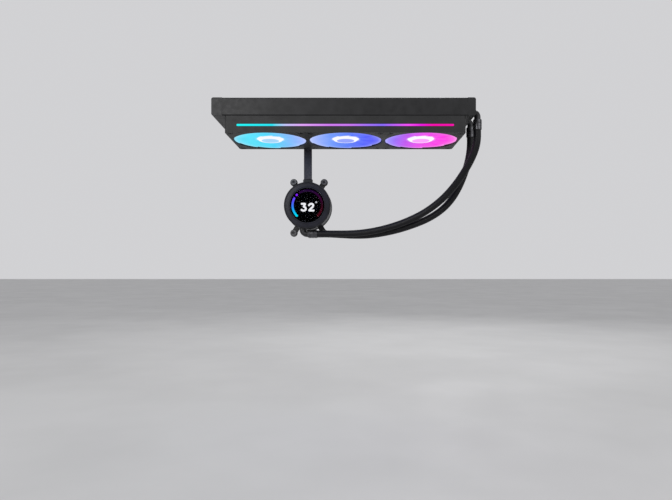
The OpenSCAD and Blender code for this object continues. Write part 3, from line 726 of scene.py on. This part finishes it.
# Degrees between an arc's points, and points round each end of a stroke.
ARC_STEP = 3.0
CAP_POINTS = 12


def round_end(centre, ahead, left, half, start, end):
    """Half circle of points round the end of a stroke, without the two that its sides have."""
    angles = np.linspace(start, end, CAP_POINTS + 2)[1:-1]
    return [tuple(centre + half * (ahead * math.cos(t) + left * math.sin(t))) for t in angles]


def stroke(name, points, half, material):
    """Flat stroke with round ends on the display, through points in millimetres from the dial's centre."""
    p = np.array(points, float)
    direction = np.gradient(p, axis=0)
    direction /= np.linalg.norm(direction, axis=1)[:, None]
    left = np.stack([-direction[:, 1], direction[:, 0]], axis=1)
    outline = [tuple(a) for a in p + left * half]
    outline += round_end(p[-1], direction[-1], left[-1], half, math.pi / 2, -math.pi / 2)
    outline += [tuple(a) for a in (p - left * half)[::-1]]
    outline += round_end(p[0], -direction[0], left[0], half, -math.pi / 2, math.pi / 2)
    count, n = len(outline), len(p)
    verts = []
    for y in (PICTURE_Y, PICTURE_Y - STROKE_DEPTH):
        verts += [(DIAL.x + a * MM, y, DIAL.z + b * MM) for a, b in outline]
    faces = []
    right = n + CAP_POINTS
    for level in (0, 1):
        base = level * count
        strip = []
        for i in range(n - 1):
            strip.append((base + i, base + i + 1, base + right + n - 2 - i, base + right + n - 1 - i))
        strip.append(tuple(base + k for k in range(n - 1, right + 1)))
        strip.append(tuple(base + k % count for k in range(right + n - 1, count + 1)))
        faces += [f[::-1] if level else f for f in strip]
    faces += [(k, k + count, (k + 1) % count + count, (k + 1) % count) for k in range(count)]
    piece(name, verts, faces, "cooler", material, smooth=False)


def arc(start, end):
    """Points along the dial's arc, between two angles in degrees."""
    count = max(2, int(abs(end - start) / ARC_STEP) + 1)
    angles = [math.radians(a) for a in np.linspace(start, end, count)]
    return [(ARC_R * math.cos(a), ARC_R * math.sin(a)) for a in angles]


def rounded(points):
    """The polyline with each corner cut to a short curve."""
    p = [np.array(q, float) for q in points]
    out = [p[0]]
    for a, b, c in zip(p, p[1:], p[2:]):
        before, after = a - b, c - b
        cut = min(CORNER, 0.45 * np.linalg.norm(before), 0.45 * np.linalg.norm(after))
        start = b + before / np.linalg.norm(before) * cut
        end = b + after / np.linalg.norm(after) * cut
        for t in np.linspace(0, 1, 6):
            out.append((1 - t) ** 2 * start + 2 * t * (1 - t) * b + t**2 * end)
    out.append(p[-1])
    return out


white = glow_material("lit_figures", [(0.0, "ffffff"), (1.0, "fbfbff")], -0.1, 0.1)
dot_grey = glow_material("lit_degree", [(0.0, "c4c4c8"), (1.0, "bcbcc0")], -0.1, 0.1)
violet = glow_material("lit_dot", [(0.0, "8a20ff"), (1.0, "8020ff")], -0.1, 0.1)
bright = glow_material(
    "lit_arc", [(0.0, "00ecff"), (0.25, "10c0ff"), (0.5, "3688ff"), (0.78, "5a58ff"), (1.0, "7048ff")],
    DIAL.z - 18 * MM, DIAL.z + 13 * MM, axis=2,
)
dim = glow_material(
    "dim_arc",
    [(0.0, "4c0814"), (0.2, "400618"), (0.45, "2e0a1c"), (0.7, "380530"), (0.88, "300a38"), (1.0, "260a38")],
    DIAL.z - 18 * MM, DIAL.z + 25 * MM, axis=2,
)
stroke("dial_arc", arc(225, 152), ARC_HALF, bright)
stroke("dial_dot", arc(135.8, 135.2), DOT_HALF, violet)
stroke("dial_track", arc(120, -44), ARC_HALF, dim)
stroke("degree_dot", [(15.2, 5.2), (15.26, 5.2)], FIGURE_HALF, dot_grey)
THREE = [
    (-9.4, 2.5), (-3.3, 2.5), (-6.4, -2.5), (-4.1, -3.1), (-2.4, -5.1), (-2.6, -7.2), (-4.4, -9.0),
    (-7.2, -9.3), (-9.7, -7.9),
]
TWO = [
    (3.0, 0.1), (4.5, 1.9), (7.0, 2.7), (9.5, 1.9), (10.3, -0.1), (9.7, -2.2), (7.7, -4.2), (2.8, -9.0),
    (10.7, -9.0),
]
stroke("figure_three", rounded(THREE), FIGURE_HALF, white)
stroke("figure_two", rounded(TWO), FIGURE_HALF, white)


# ---- finishes on the CAD nodes ----

FINISH = {
    "coated_aluminium": coat, "bare_aluminium": bare_metal, "steel": zinc, "black_screw": oxide,
    "dark_fitting": fitting, "ferrule_metal": ferrule_metal, "frame_plastic": frame_plastic,
    "light_diffuser": light_bar_material(), "ferrite": ferrite, "board": mask, "copper": milled_copper,
    "winding": winding, "sleeve_brass": bronze, "soft_rubber": rubber, "shell_plastic": shell_plastic,
    "bezel_plastic": bezel_plastic, "dark_glass": glass_material(), "dark_plastic": moulded,
    "ribbon_jacket": ribbon_jacket, "ceramic": ceramic, "nut_metal": nut_metal, "bracket_coat": bracket_coat,
    "hose_sleeve": SLEEVE, "fin_coat": coat, "rotor_cyan": moulded, "rotor_blue": moulded,
    "rotor_magenta": moulded,
}
for name, node in nodes.items():
    node.data.materials.clear()
    node.data.materials.append(screen_black if name == "display_panel" else FINISH[slot_of[name]])


# ---- stage ----

FLOOR_Z = -0.529
FLOOR_HALF = 12


def stage_floor():
    """Wide pale floor, well below the part."""
    mesh = bpy.data.meshes.new("floor")
    signs = ((-1, -1), (1, -1), (1, 1), (-1, 1))
    mesh.from_pydata([(FLOOR_HALF * a, FLOOR_HALF * b, FLOOR_Z) for a, b in signs], [], [(0, 1, 2, 3)])
    mesh.materials.append(surface("pale_floor", grey(0.50, 1), grey(0.54, 1), (0.6, 0.8), 800, 0.00002, 3, 0))
    made = bpy.data.objects.new("floor", mesh)
    scene.collection.objects.link(made)
    made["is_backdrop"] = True


def lamp(name, place, target, size, power):
    """Round area light of that size in metres and power in watts, turned to its target."""
    data = bpy.data.lights.new(name, "AREA")
    data.shape = "DISK"
    data.size = size
    data.energy = power
    made = bpy.data.objects.new(name, data)
    made.location = place
    made.rotation_euler = (Vector(target) - Vector(place)).to_track_quat("-Z", "Y").to_euler()
    scene.collection.objects.link(made)


stage_floor()
middle = (0, 0, -0.1)
lamp("key", (-1.1, -1.9, 0.5), middle, 1.2, 22)
lamp("fill", (1.4, -1.6, 0.1), middle, 1.2, 8)
lamp("back", (0.5, 1.6, 0.9), middle, 1.0, 12)
world = bpy.data.worlds.new("studio")
world.use_nodes = True
world.node_tree.nodes["Background"].inputs["Color"].default_value = (0.80, 0.80, 0.82, 1)
world.node_tree.nodes["Background"].inputs["Strength"].default_value = 0.8
scene.world = world


# ---- size ----

low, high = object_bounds()
